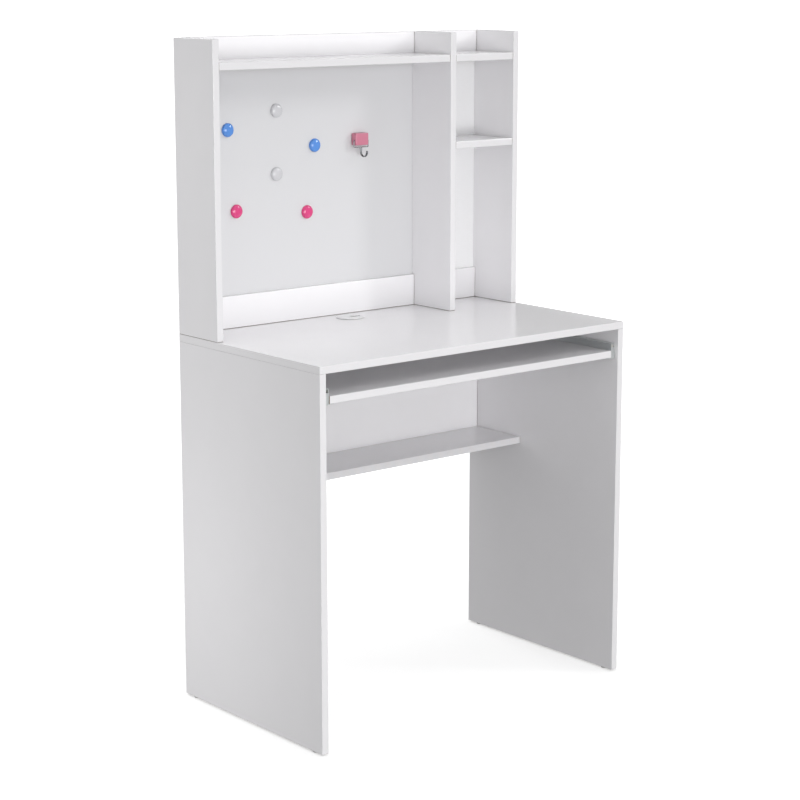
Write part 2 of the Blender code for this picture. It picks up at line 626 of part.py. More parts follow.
def build_cam(name, end, side, y, desk, finish):
    """A cam bolt in the desktop and the cam lock that draws it into the side panel."""
    x = side * (INNER + BOARD / 2)
    lock_z = UNDER - FIT - CAM_DROP
    foot = Vector((x, y, lock_z - BOLT_HEAD_LENGTH / 2))
    neck_start = BOLT_HEAD_LENGTH
    shank_start = neck_start + BOLT_NECK_LENGTH
    thread_start = UNDER - foot.z
    length = thread_start + BOLT_THREAD_LENGTH
    profile = [
        (0, 0), (BOLT_HEAD_RADIUS, 0), (BOLT_HEAD_RADIUS, neck_start), (BOLT_NECK_RADIUS, neck_start),
        (BOLT_NECK_RADIUS, shank_start), (BOLT_SHANK_RADIUS, shank_start),
        (BOLT_SHANK_RADIUS, thread_start - FIT), (BOLT_THREAD_RADIUS, thread_start - FIT),
        (BOLT_THREAD_RADIUS, length - BOLT_THREAD_RADIUS / 3), (BOLT_THREAD_RADIUS * 2 / 3, length),
        (0, length)]
    bolt = turned(profile, foot, (0, 0, 1), sides=SMALL_SIDES)
    add_object(f"cam_bolt_{name}_{end}", bolt, finish["zinc_steel"], foot, smooth=True)
    thread_hole = cylinder(
        (x, y, UNDER - PAST), (x, y, UNDER + BOLT_THREAD_LENGTH + FIT), BOLT_THREAD_RADIUS + FIT,
        sides=SMALL_SIDES)
    combine(desk["desktop"], add_tool(f"bolt_hole_{name}_{end}", thread_hole), "DIFFERENCE")
    shank_hole = cylinder((x, y, lock_z), (x, y, UNDER + PAST), BOLT_SHANK_RADIUS + FIT, sides=SMALL_SIDES)
    combine(desk[name], add_tool(f"shank_hole_{name}_{end}", shank_hole), "DIFFERENCE")

    def inward(distance):
        """The X of a point this deep into the side panel from its inner face."""
        return side * (INNER + distance)

    pocket = cylinder((inward(-PAST), y, lock_z), (inward(CAM_DEPTH + 2 * FIT), y, lock_z), CAM_RADIUS + FIT)
    combine(desk[name], add_tool(f"cam_pocket_{name}_{end}", pocket), "DIFFERENCE")
    lock_face = (inward(FIT), y, lock_z)
    lock_disc = cylinder(lock_face, (inward(FIT + CAM_DEPTH), y, lock_z), CAM_RADIUS)
    lock = add_object(f"cam_lock_{name}_{end}", lock_disc, finish["zinc_alloy"], lock_face, smooth=True)
    half = BOLT_SHANK_RADIUS + FIT
    channel_low = Vector((x - half, y - half, foot.z - FIT))
    channel_high = Vector((x + half, y + half, lock_z + CAM_RADIUS + PAST))
    combine(lock, add_tool(f"cam_channel_{name}_{end}", box(channel_low, channel_high)), "DIFFERENCE")
    face = sorted((inward(FIT - PAST), inward(FIT + CAM_CROSS_DEPTH)))
    for index, (wide, tall) in enumerate(((CAM_CROSS, CAM_CROSS_WIDTH), (CAM_CROSS_WIDTH, CAM_CROSS))):
        cross_low = (face[0], y - wide / 2, lock_z - tall / 2)
        cross_high = (face[1], y + wide / 2, lock_z + tall / 2)
        combine(lock, add_tool(f"cam_cross_{name}_{end}_{index}", box(cross_low, cross_high)), "DIFFERENCE")


def build_dowel(name, joint, direction, holders, finish):
    """A dowel across a joint: the short end goes back from the joint, the long end along direction."""
    direction = Vector(direction)
    start = Vector(joint) - direction * DOWEL_SHORT
    length = DOWEL_SHORT + DOWEL_LONG
    profile = [
        (0, 0), (DOWEL_RADIUS - DOWEL_CHAMFER, 0), (DOWEL_RADIUS, DOWEL_CHAMFER),
        (DOWEL_RADIUS, length - DOWEL_CHAMFER), (DOWEL_RADIUS - DOWEL_CHAMFER, length), (0, length)]
    dowel = turned(profile, start, direction, sides=SMALL_SIDES)
    add_object(name, dowel, finish["dowel_wood"], start, smooth=True)
    hole = cylinder(
        start - direction * FIT, start + direction * (length + FIT), DOWEL_RADIUS + FIT, sides=SMALL_SIDES)
    tool = add_tool(f"{name}_hole", hole)
    for holder in holders:
        combine(holder, tool, "DIFFERENCE")


def build_screw(name, x, y, desk, hutch, finish):
    """A screw up through the desktop into the divider's foot."""
    foot = Vector((x, y, UNDER - FIT - SCREW_HEAD_HEIGHT))
    length = SCREW_HEAD_HEIGHT + SCREW_LENGTH
    profile = [
        (0, 0), (SCREW_HEAD_RADIUS * 2 / 3, 0), (SCREW_HEAD_RADIUS, SCREW_HEAD_HEIGHT / 2),
        (SCREW_HEAD_RADIUS, SCREW_HEAD_HEIGHT), (SCREW_RADIUS, SCREW_HEAD_HEIGHT),
        (SCREW_RADIUS, length - SCREW_RADIUS), (0, length)]
    screw = turned(profile, foot, (0, 0, 1), sides=SMALL_SIDES)
    add_object(name, screw, finish["zinc_steel"], foot, smooth=True)
    hole = cylinder(
        (x, y, UNDER - PAST), (x, y, foot.z + length + FIT), SCREW_RADIUS + FIT, sides=SMALL_SIDES)
    tool = add_tool(f"{name}_hole", hole)
    combine(desk["desktop"], tool, "DIFFERENCE")
    combine(hutch["divider"], tool, "DIFFERENCE")


def build_fasteners(desk, hutch, finish):
    """Cam bolts and locks, dowels and screws."""
    hutch_places = {"front": HUTCH_FRONT + DOWEL_INSET, "back": BACK - DOWEL_INSET}
    shelf_places = {"front": LOWER_SHELF_FRONT + DOWEL_INSET, "back": LOWER_SHELF_BACK - DOWEL_INSET}
    cam_places = {"front": FRONT + CAM_INSET, "back": BACK - HUTCH_DEPTH / 2}
    for name, side in SIDES.items():
        for end in ("front", "back"):
            build_cam(name, end, side, cam_places[end], desk, finish)
            foot = (side * (INNER + BOARD / 2), hutch_places[end], DESK_HEIGHT)
            build_dowel(
                f"hutch_dowel_{name}_{end}", foot, (0, 0, 1), (desk["desktop"], hutch[name]), finish)
            shelf_end = (side * INNER, shelf_places[end], LOWER_SHELF_TOP - BOARD / 2)
            build_dowel(
                f"shelf_dowel_{name}_{end}", shelf_end, (-side, 0, 0), (desk[name], desk["shelf"]), finish)
    divider_x = DIVIDER_LEFT + BOARD / 2
    screw_places = {"front": HUTCH_FRONT + SCREW_INSET, "back": BACK - SCREW_INSET}
    for end, y in screw_places.items():
        build_screw(f"divider_screw_{end}", divider_x, y, desk, hutch, finish)


def finishes():
    """The materials that the pieces are made of."""
    return {
        "melamine": material("white_melamine", "#F1F0F2", 0.35),
        "board_steel": material("painted_board_steel", "#E6E6E8", 0.4),
        "fibreboard": material("white_fibreboard", "#F0F0F1", 0.45),
        "zinc_steel": material("zinc_plated_steel", "#9DA2A2", 0.35, 1.0),
        "zinc_alloy": material("zinc_die_casting", "#A5A7A8", 0.45, 1.0),
        "nylon": material("white_nylon", "#E4E3DF", 0.45),
        "grommet_plastic": material("white_grommet_plastic", "#F0F0F1", 0.4),
        "glide_plastic": material("grey_glide_plastic", "#B9B9B9", 0.5),
        "blue_plastic": material("blue_magnet_plastic", "#5E8FDD", 0.3),
        "white_plastic": material("white_magnet_plastic", "#DADADD", 0.3),
        "pink_plastic": material("pink_magnet_plastic", "#DE4F88", 0.3),
        "hook_plastic": material("pink_hook_plastic", "#D4869B", 0.35),
        "chrome_wire": material("chrome_plated_wire", "#C9CBCD", 0.15, 1.0),
        "ferrite": material("ferrite_magnet", "#3A3A3C", 0.7),
        "dowel_wood": material("beech_dowel", "#CDA877", 0.6),
    }


def main():
    clear_scene()
    finish = finishes()
    desk = build_desk(finish)
    hutch = build_hutch(finish)
    build_back_panels(hutch, finish)
    build_glides(desk, finish)
    for name, side in SIDES.items():
        build_slide(name, side, finish)
    build_grommet(desk["desktop"], finish)
    build_magnets(finish)
    build_hook(finish)
    build_fasteners(desk, hutch, finish)


main()
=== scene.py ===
"""Looks of the white computer desk: finishes, fittings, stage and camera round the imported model."""

import json
import math

import bmesh
import bpy
from bpy.props import FloatProperty, FloatVectorProperty, PointerProperty
from mathutils import Matrix, Vector


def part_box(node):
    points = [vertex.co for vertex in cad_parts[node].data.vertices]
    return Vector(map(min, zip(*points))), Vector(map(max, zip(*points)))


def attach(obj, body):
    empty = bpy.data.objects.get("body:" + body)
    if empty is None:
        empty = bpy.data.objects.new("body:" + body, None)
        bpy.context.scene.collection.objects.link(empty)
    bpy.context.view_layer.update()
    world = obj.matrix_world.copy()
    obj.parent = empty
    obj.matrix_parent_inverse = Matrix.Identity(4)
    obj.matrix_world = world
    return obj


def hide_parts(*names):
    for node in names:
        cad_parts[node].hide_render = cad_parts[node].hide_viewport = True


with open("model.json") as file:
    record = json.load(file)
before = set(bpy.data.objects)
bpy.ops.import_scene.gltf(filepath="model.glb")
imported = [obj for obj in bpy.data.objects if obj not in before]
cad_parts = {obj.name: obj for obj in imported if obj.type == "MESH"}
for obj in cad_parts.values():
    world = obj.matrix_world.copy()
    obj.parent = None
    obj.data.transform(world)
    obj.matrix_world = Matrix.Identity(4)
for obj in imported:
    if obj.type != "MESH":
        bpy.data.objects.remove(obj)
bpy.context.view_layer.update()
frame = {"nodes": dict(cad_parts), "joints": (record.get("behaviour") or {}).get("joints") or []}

bl_info = {
    "name": "Computer desk looks",
    "version": (1, 0, 0),
    "blender": (4, 5, 0),
    "location": "View3D > Sidebar > Desk",
    "description": "Finishes, fittings and stage for a white computer desk with a hutch",
    "category": "Object",
}

MM = 0.001
# Play between pieces that fit together
FIT = 0.3 * MM
# How far the ends of the hook's wire go into its body
PIN_REACH = 6 * MM
SIDES = ("left", "right")
ENDS = ("front", "back")
SMOOTH_ANGLE = math.radians(35)
# How square a spot on a board stands to its faces, to its rounded edges, which get a painted shade line, or
# to the edges that get painted shade at the joints and feet: 1 is square on
FACE_FROM = 0.97
CORNER_MIDDLE = 0.6
CORNER_SPREAD = 0.37
JOINT_FROM = 0.3
# How far from the desk the floor starts to glow more, and where it is white, in metres
GLOW_START = 1.0
GLOW_END = 4.5


def linear(channel):
    """Turns one sRGB channel, 0 to 1, into linear light."""
    if channel <= 0.04045:
        return channel / 12.92
    return ((channel + 0.055) / 1.055) ** 2.4


def colour(code):
    """Linear red, green and blue of an sRGB hex colour."""
    return tuple(linear(int(code[i:i + 2], 16) / 255) for i in (1, 3, 5))


def shaded(tint, share):
    """A share of a linear colour, with full alpha."""
    return (*(channel * share for channel in tint), 1)


def colour_property(name, description, code):
    """A colour that a user may change, with its sRGB hex default."""
    return FloatVectorProperty(
        name=name, description=description, subtype="COLOR", size=3, min=0.0, max=1.0, default=colour(code))


def length_property(name, description, value):
    """A length that a user may change, in metres."""
    return FloatProperty(
        name=name, description=description, unit="LENGTH", subtype="DISTANCE", precision=5, min=0.0,
        default=value)


def power_property(name, description, value):
    """A lamp's power that a user may change, in watts."""
    return FloatProperty(name=name, description=description, unit="POWER", min=0.0, default=value)


def strength_property(name, description, value):
    """The strength of a wide light that a user may change."""
    return FloatProperty(name=name, description=description, min=0.0, default=value)


class DeskFinish(bpy.types.PropertyGroup):
    """Colours of the desk's materials."""

    board: colour_property("Board", "White melamine on the faces of the boards", "#EFEEF0")
    band: colour_property("Edge band", "White plastic band round the edges of the boards", "#E1E0E2")
    # Painted shade: this dark brown goes on the board edges at the joints and feet, standing in for shade in
    # the seams
    joint_shade: colour_property("Joint shade", "Bare particle board on the edges that the joints hide", "#75695B")
    sheet: colour_property("Magnet board", "White powder coat on the steel sheet", "#D6D6D8")
    panel: colour_property("Back panel", "White lacquer on the fibreboard", "#EFEFF0")
    zinc: colour_property("Zinc plate", "Plated steel of the slides and screws", "#E0E4E4")
    casting: colour_property("Zinc casting", "Die-cast cam locks", "#A9ABAC")
    nylon: colour_property("Nylon", "Rollers of the slides", "#E2E0DA")
    moulded: colour_property("Grommet", "White moulded plastic of the cable grommet", "#EDEDEE")
    glide: colour_property("Glide", "Grey plastic glides", "#B5B5B4")
    blue: colour_property("Blue magnet", "Blue moulded plastic", "#5B92DE")
    white: colour_property("White magnet", "White moulded plastic", "#CFCFD2")
    pink: colour_property("Pink magnet", "Pink moulded plastic", "#DC4782")
    hook: colour_property("Hook", "Pale pink moulded plastic of the hook's body", "#CC7C92")
    chrome: colour_property("Chrome", "Plated wire of the hook", "#85878A")
    ferrite: colour_property("Ferrite", "Sintered magnet in the hook", "#38383A")
    beech: colour_property("Beech", "Dowels", "#CBA676")


class DeskFittings(bpy.types.PropertyGroup):
    """Sizes of the small fittings."""

    screw_head: length_property("Screw head", "Radius of a slide screw's head", 3.6 * MM)
    screw_rise: length_property("Screw rise", "Height of a pan head under the tray", 1.9 * MM)
    cross: length_property("Cross recess", "Width across a screw's cross recess", 3.6 * MM)
    magnet_bevel: length_property("Magnet bevel", "Round between a magnet's rim and its back", 0.7 * MM)
    magnet_groove: length_property(
        "Magnet groove", "Depth of the groove between a magnet's rim and its dome", 0.35 * MM)
    hook_round: length_property("Hook round", "Radius of the rounded edges of the hook's body", 2.2 * MM)
    hook_stem: length_property("Hook stem", "Straight length of the hook's wire below its bar", 9.7 * MM)
    hook_bend: length_property("Hook bend", "Radius of the bend of the hook's wire", 10 * MM)
    wire_drop: length_property("Wire drop", "Length of the wire's arms from pivot to bar", 14.6 * MM)
    wire_radius: length_property("Wire radius", "Radius of the hook's wire", 1.1 * MM)
    flange_round: length_property("Grommet round", "Radius of the grommet flange's top edge", 0.8 * MM)
    notch_width: length_property("Notch width", "Width of the notch in the grommet's cap", 11 * MM)
    notch_end: length_property("Notch end", "How far the notch goes past the cap's middle", 2 * MM)
    cap_turn: FloatProperty(
        name="Cap turn", description="How far the cap's notch is turned from the right", subtype="ANGLE",
        default=math.radians(-4))


class DeskStage(bpy.types.PropertyGroup):
    """Floor, light and camera."""

    floor: colour_property("Floor", "Pale studio floor", "#C6C6C6")
    glow: strength_property("Floor glow", "Light that the floor itself gives", 0.52)
    left: strength_property("Left", "Surround's strength on the left", 0.19)
    right: strength_property("Right", "Surround's strength on the right", 0.36)
    front: strength_property("Front", "Surround's strength in front", 0.56)
    back: strength_property("Back", "Surround's strength behind", 0.32)
    above: strength_property("Above", "Surround's strength above", 1.06)
    below: strength_property("Below", "Light that comes up from the floor", 0.02)
    softbox: power_property("Softbox", "Power of the wide lamp in front", 86.0)
    key: power_property("Key light", "Power of the lamp at the front right", 50.0)
    fill: power_property("Fill light", "Power of the wide lamp at the front left", 13.0)
    side: power_property("Side light", "Power of the low lamp close to the left side", 1.6)
    high_side: power_property("High side light", "Power of the lamp close to the hutch's left side", 1.15)
    rear: power_property("Rear light", "Power of the lamp behind", 72.0)
    focal: FloatProperty(
        name="Focal length", description="Camera lens in millimetres", unit="CAMERA", min=1.0, default=95.5)


def add_node(tree, kind, inputs=(), **settings):
    """Adds a shader node, with its settings, and links or values for its inputs."""
    made = tree.nodes.new(kind)
    for name, value in settings.items():
        setattr(made, name, value)
    for socket, value in dict(inputs).items():
        if isinstance(value, bpy.types.NodeSocket):
            tree.links.new(value, made.inputs[socket])
        else:
            made.inputs[socket].default_value = value
    return made


def start_material(name, **sockets):
    """A material with a Principled shader whose plain sockets are set; returns material, tree and shader."""
    made = bpy.data.materials.new(name)
    made.use_nodes = True
    tree = made.node_tree
    shader = tree.nodes["Principled BSDF"]
    for socket, value in sockets.items():
        shader.inputs[socket.replace("_", " ")].default_value = value
    return made, tree, shader


def apply_pattern(tree, shader, pattern, tint, share, gloss, relief=0.0, strength=0.0):
    """Lets one pattern tint a surface between its colour and a share of it, and set roughness and relief."""
    paint = add_node(
        tree, "ShaderNodeMix",
        {"Factor": pattern.outputs["Fac"], "A": (*tint, 1), "B": shaded(tint, share)}, data_type="RGBA")
    tree.links.new(paint.outputs["Result"], shader.inputs["Base Color"])
    roughness = add_node(
        tree, "ShaderNodeMapRange", {"Value": pattern.outputs["Fac"], "To Min": gloss[0], "To Max": gloss[1]})
    tree.links.new(roughness.outputs["Result"], shader.inputs["Roughness"])
    if relief > 0:
        bump = add_node(
            tree, "ShaderNodeBump",
            {"Height": pattern.outputs["Fac"], "Distance": relief, "Strength": strength})
        tree.links.new(bump.outputs["Normal"], shader.inputs["Normal"])


def board_skin(tree, place, finish, white):
    """Colour of a board: paper where it faces along white, a painted shade line along the rounded edges, and
    band elsewhere.
    """
    unsigned = add_node(tree, "ShaderNodeVectorMath", {0: place.outputs["Normal"]}, operation="ABSOLUTE")
    facing = add_node(
        tree, "ShaderNodeVectorMath", {0: unsigned.outputs["Vector"], 1: white}, operation="DOT_PRODUCT")
    on_face = add_node(
        tree, "ShaderNodeMath", {0: facing.outputs["Value"], 1: FACE_FROM}, operation="GREATER_THAN")
    edge_shade = add_node(
        tree, "ShaderNodeMath", {0: facing.outputs["Value"], 1: CORNER_MIDDLE, 2: CORNER_SPREAD},
        operation="COMPARE")
    # Clouds in the paper are about 60 mm across
    clouds = add_node(
        tree, "ShaderNodeTexNoise",
        {"Vector": place.outputs["Object"], "Scale": 1 / (60 * MM), "Detail": 3.0, "Roughness": 0.55})
    cloudiness = add_node(
        tree, "ShaderNodeMapRange",
        {"Value": clouds.outputs["Fac"], "From Min": 0.3, "From Max": 0.7, "To Max": 0.35})
    paper = add_node(
        tree, "ShaderNodeMix",
        {"Factor": cloudiness.outputs["Result"], "A": (*finish.board, 1), "B": shaded(finish.board, 0.965)},
        data_type="RGBA")
    skin = add_node(
        tree, "ShaderNodeMix",
        {"Factor": on_face.outputs[0], "A": (*finish.band, 1), "B": paper.outputs["Result"]},
        data_type="RGBA")
    # Painted shade: the rounded edges are darkened to 0.9 of the band colour, a dark line along every edge
    return add_node(
        tree, "ShaderNodeMix",
        {"Factor": edge_shade.outputs[0], "A": skin.outputs["Result"], "B": shaded(finish.band, 0.9)},
        data_type="RGBA")


def joint_shade_mask(tree, place, shade_ends, shade_foot):
    """1 on the edges that get painted shade at the joints: the ends where shade_ends is 1, the foot where
    shade_foot is 1.
    """
    direction = add_node(tree, "ShaderNodeSeparateXYZ", {"Vector": place.outputs["Normal"]})
    aside = add_node(tree, "ShaderNodeMath", {0: direction.outputs["X"]}, operation="ABSOLUTE")
    at_end = add_node(tree, "ShaderNodeMath", {0: aside.outputs[0], 1: shade_ends}, operation="MULTIPLY")
    at_foot = add_node(
        tree, "ShaderNodeMath", {0: direction.outputs["Z"], 1: -shade_foot}, operation="MULTIPLY")
    hidden = add_node(
        tree, "ShaderNodeMath", {0: at_end.outputs[0], 1: at_foot.outputs[0]}, operation="MAXIMUM")
    return add_node(tree, "ShaderNodeMath", {0: hidden.outputs[0], 1: JOINT_FROM}, operation="GREATER_THAN")


def melamine(name, finish, white, shade_ends=0, shade_foot=0):
    """Melamine-faced particle board: resin-soaked paper pressed on the faces, plastic band on the edges."""
    # To the eye: a clean even white with soft mirror images in it, a little broken by the press plate's peel;
    # a painted shade line darkens the rounded edges, and painted shade in dark brown lines the joints and the
    # feet
    made, tree, shader = start_material(name, IOR=1.5)
    place = add_node(tree, "ShaderNodeTexCoord")
    skin = board_skin(tree, place, finish, white)
    in_joint_shade = joint_shade_mask(tree, place, shade_ends, shade_foot)
    # Painted shade: the edges at the joints and the feet take the dark brown joint shade colour
    surface = add_node(
        tree, "ShaderNodeMix",
        {"Factor": in_joint_shade.outputs[0], "A": skin.outputs["Result"], "B": (*finish.joint_shade, 1)}, data_type="RGBA")
    tree.links.new(surface.outputs["Result"], shader.inputs["Base Color"])
    # The peel is about 0.6 mm on the board, drawn at 2.5 mm so that it shows
    peel = add_node(
        tree, "ShaderNodeTexNoise",
        {"Vector": place.outputs["Object"], "Scale": 1 / (2.5 * MM), "Detail": 2.0, "Roughness": 0.5})
    gloss = add_node(
        tree, "ShaderNodeMapRange",
        {"Value": peel.outputs["Fac"], "From Min": 0.25, "From Max": 0.75, "To Min": 0.15, "To Max": 0.21})
    tree.links.new(gloss.outputs["Result"], shader.inputs["Roughness"])
    bump = add_node(
        tree, "ShaderNodeBump", {"Height": peel.outputs["Fac"], "Distance": 0.02 * MM, "Strength": 0.08})
    tree.links.new(bump.outputs["Normal"], shader.inputs["Normal"])
    return made


def powder_coat(finish):
    """Powder-coated steel sheet: paint powder, sprayed on dry and cured in an oven."""
    # To the eye: a flat soft white, greyer than the boards, whose sheen is broken by an even orange peel
    made, tree, shader = start_material("powder_coated_steel_sheet", IOR=1.5)
    place = add_node(tree, "ShaderNodeTexCoord")
    # The peel is about 1 mm, drawn at 2 mm so that it shows
    peel = add_node(
        tree, "ShaderNodeTexNoise", {"Vector": place.outputs["Object"], "Scale": 1 / (2 * MM), "Detail": 2.0})
    apply_pattern(
        tree, shader, peel, finish.sheet, share=0.96, gloss=(0.33, 0.43), relief=0.03 * MM, strength=0.35)
    return made


def lacquered_fibreboard(finish):
    """Lacquered hardboard: wood fibres pressed to a sheet and rolled with white lacquer."""
    # To the eye: a dull white in which the lie of the fibres shows faintly
    made, tree, shader = start_material("lacquered_fibreboard", IOR=1.5)
    place = add_node(tree, "ShaderNodeTexCoord")
    # Fibre bundles are about 4 mm long and 0.5 mm wide, drawn at 12 and 2 mm so that they show
    stretched = add_node(
        tree, "ShaderNodeVectorMath",
        {0: place.outputs["Object"], 1: (1 / (12 * MM), 1 / (2 * MM), 1 / (2 * MM))}, operation="MULTIPLY")
    fibres = add_node(
        tree, "ShaderNodeTexNoise", {"Vector": stretched.outputs["Vector"], "Scale": 1.0, "Detail": 3.0})
    apply_pattern(
        tree, shader, fibres, finish.panel, share=0.95, gloss=(0.36, 0.48), relief=0.03 * MM, strength=0.3)
    return made


def zinc_plate(finish):
    """Zinc-plated steel: cold-rolled strip, bent to shape and plated."""
    # To the eye: a cool grey metal, half bright, with faint streaks along the way it was rolled
    made, tree, shader = start_material("zinc_plated_steel", Metallic=1.0)
    place = add_node(tree, "ShaderNodeTexCoord")
    # Rolling streaks are about 0.4 mm wide and 60 mm long, drawn 1.2 mm wide so that they show
    stretched = add_node(
        tree, "ShaderNodeVectorMath",
        {0: place.outputs["Object"], 1: (1 / (1.2 * MM), 1 / (60 * MM), 1 / (1.2 * MM))},
        operation="MULTIPLY")
    streaks = add_node(
        tree, "ShaderNodeTexNoise", {"Vector": stretched.outputs["Vector"], "Scale": 1.0, "Detail": 4.0})
    apply_pattern(
        tree, shader, streaks, finish.zinc, share=0.86, gloss=(0.38, 0.5), relief=0.02 * MM, strength=0.3)
    return made


def zinc_casting(finish):
    """Zinc alloy, die-cast and left raw."""
    # To the eye: a dull grey metal with the fine grain of the die
    made, tree, shader = start_material("die_cast_zinc", Metallic=1.0)
    place = add_node(tree, "ShaderNodeTexCoord")
    # The grain is about 0.3 mm, drawn at 0.8 mm so that it shows
    grain = add_node(
        tree, "ShaderNodeTexNoise",
        {"Vector": place.outputs["Object"], "Scale": 1 / (0.8 * MM), "Detail": 3.0})
    apply_pattern(
        tree, shader, grain, finish.casting, share=0.75, gloss=(0.42, 0.6), relief=0.03 * MM, strength=0.4)
    return made


def moulded_plastic(name, tint, grain, roughness, relief):
    """Injection-moulded plastic, coloured right through; grain and relief are those of the mould."""
    # To the eye: one even colour, with a clear highlight that the mould's grain makes a little uneven
    made, tree, shader = start_material(name, IOR=1.54)
    place = add_node(tree, "ShaderNodeTexCoord")
    texture = add_node(
        tree, "ShaderNodeTexNoise", {"Vector": place.outputs["Object"], "Scale": 1 / grain, "Detail": 2.0})
    apply_pattern(
        tree, shader, texture, tint, share=0.93, gloss=(roughness * 0.8, roughness * 1.2), relief=relief,
        strength=0.3)
    return made


def chrome_plate(finish):
    """Nickel-chrome plate on drawn steel wire."""
    # To the eye: a dark mirror with bright lines along it, a little dulled by the drawing marks
    made, tree, shader = start_material("chrome_plated_wire", Metallic=1.0)
    place = add_node(tree, "ShaderNodeTexCoord")
    # Drawing marks are about 0.2 mm, drawn at 0.7 mm so that they show
    marks = add_node(
        tree, "ShaderNodeTexNoise",
        {"Vector": place.outputs["Object"], "Scale": 1 / (0.7 * MM), "Detail": 2.0})
    apply_pattern(tree, shader, marks, finish.chrome, share=0.85, gloss=(0.08, 0.2))
    return made


def sintered_ferrite(finish):
    """Sintered ferrite, with ground faces."""
    # To the eye: a dark matt grey, speckled paler by the grinding
    made, tree, shader = start_material("sintered_ferrite", IOR=2.0)
    place = add_node(tree, "ShaderNodeTexCoord")
    # Ground grain is about 0.2 mm, drawn at 0.6 mm so that it shows
    grain = add_node(
        tree, "ShaderNodeTexNoise",
        {"Vector": place.outputs["Object"], "Scale": 1 / (0.6 * MM), "Detail": 4.0})
    apply_pattern(tree, shader, grain, finish.ferrite, share=1.6, gloss=(0.6, 0.8))
    return made


def beech(finish):
    """Beech, turned to rod and cut into dowels."""
    # To the eye: pale warm wood flecked with short dark rays along the rod
    made, tree, shader = start_material("beech_dowel_rod", IOR=1.5)
    place = add_node(tree, "ShaderNodeTexCoord")
    # Rays are about 1.5 mm long and 0.3 mm wide, drawn at 3 and 0.6 mm so that they show
    stretched = add_node(
        tree, "ShaderNodeVectorMath",
        {0: place.outputs["Object"], 1: (1 / (0.6 * MM), 1 / (0.6 * MM), 1 / (3 * MM))}, operation="MULTIPLY")
    rays = add_node(
        tree, "ShaderNodeTexNoise", {"Vector": stretched.outputs["Vector"], "Scale": 1.0, "Detail": 3.0})
    apply_pattern(
        tree, shader, rays, finish.beech, share=0.7, gloss=(0.5, 0.7), relief=0.05 * MM, strength=0.4)
    return made


def finish_node(name, material):
    """Gives a CAD node its finish."""
    node = frame["nodes"][name]
    node.data.materials.clear()
    node.data.materials.append(material)


def add_piece(name, shape, material, body, replaced=()):
    """Makes a piece of the desk from a bmesh in desk coordinates and lets it ride on a body."""
    bmesh.ops.recalc_face_normals(shape, faces=shape.faces)
    mesh = bpy.data.meshes.new(name)
    shape.to_mesh(mesh)
    shape.free()
    mesh.shade_smooth()
    mesh.set_sharp_from_angle(angle=SMOOTH_ANGLE)
    mesh.materials.append(material)
    piece = bpy.data.objects.new(name, mesh)
    bpy.context.scene.collection.objects.link(piece)
    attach(piece, body)
    if replaced:
        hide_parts(*replaced)


def cut(shape, tool):
    """Cuts one bmesh by another and returns the result; both inputs are used up."""
    made = []
    for part in (shape, tool):
        bmesh.ops.recalc_face_normals(part, faces=part.faces)
        mesh = bpy.data.meshes.new("cutting")
        part.to_mesh(mesh)
        part.free()
        made.append(bpy.data.objects.new("cutting", mesh))
        bpy.context.scene.collection.objects.link(made[-1])
    step = made[0].modifiers.new("cut", "BOOLEAN")
    step.operation = "DIFFERENCE"
    step.solver = "EXACT"
    step.object = made[1]
    bpy.context.view_layer.update()
    result = bmesh.new()
    result.from_object(made[0], bpy.context.evaluated_depsgraph_get())
    for part in made:
        mesh = part.data
        bpy.data.objects.remove(part)
        bpy.data.meshes.remove(mesh)
    return result


def turned(profile, base, direction, closed=False, sides=64):
    """A turned shape: (radius, height) points spun about an axis through base."""
    shape = bmesh.new()
    points = [shape.verts.new((radius, 0, height)) for radius, height in profile]
    ends = points[1:] + points[:1] if closed else points[1:]
    edges = [shape.edges.new(pair) for pair in zip(points, ends)]
    bmesh.ops.spin(
        shape, geom=points + edges, cent=(0, 0, 0), axis=(0, 0, 1), angle=2 * math.pi, steps=sides,
        use_merge=True)
    bmesh.ops.remove_doubles(shape, verts=shape.verts, dist=0.005 * MM)
    turn = Vector(direction).to_track_quat("Z", "Y").to_matrix().to_4x4()
    bmesh.ops.transform(shape, matrix=Matrix.Translation(base) @ turn, verts=shape.verts)
    return shape


def rounded_box(low, high, radius, segments=5):
    """A box between two corners with rounded edges."""
    low = Vector(low)
    high = Vector(high)
    shape = bmesh.new()
    bmesh.ops.create_cube(shape, size=1.0)
    bmesh.ops.scale(shape, vec=high - low, verts=shape.verts)
    if radius > 0:
        bmesh.ops.bevel(
            shape, geom=shape.edges[:], offset=radius, segments=segments, profile=0.5, affect="EDGES")
    bmesh.ops.translate(shape, vec=(low + high) / 2, verts=shape.verts)
    return shape


def arc(middle, radius, start, end, steps):
    """(radius, height) points on an arc between two angles in degrees."""
    points = []
    for step in range(steps + 1):
        angle = math.radians(start + (end - start) * step / steps)
        points.append((middle[0] + radius * math.cos(angle), middle[1] + radius * math.sin(angle)))
    return points


def middle_of(node):
    """The middle of a CAD node's box."""
    low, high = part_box(node)
    return (low + high) / 2


def desk_settings():
    """The settings that the operators read."""
    scene = bpy.context.scene
    return scene.desk_finish, scene.desk_fittings, scene.desk_stage


BOARDS = (
    "left_side_panel", "right_side_panel", "modesty_panel", "lower_shelf", "keyboard_tray", "hutch_left_side",
    "hutch_right_side", "hutch_divider", "hutch_top_shelf_left", "hutch_top_shelf_right", "hutch_small_shelf",
    "hutch_top_rail_left", "hutch_top_rail_right", "hutch_kick_rail_left", "hutch_kick_rail_right")


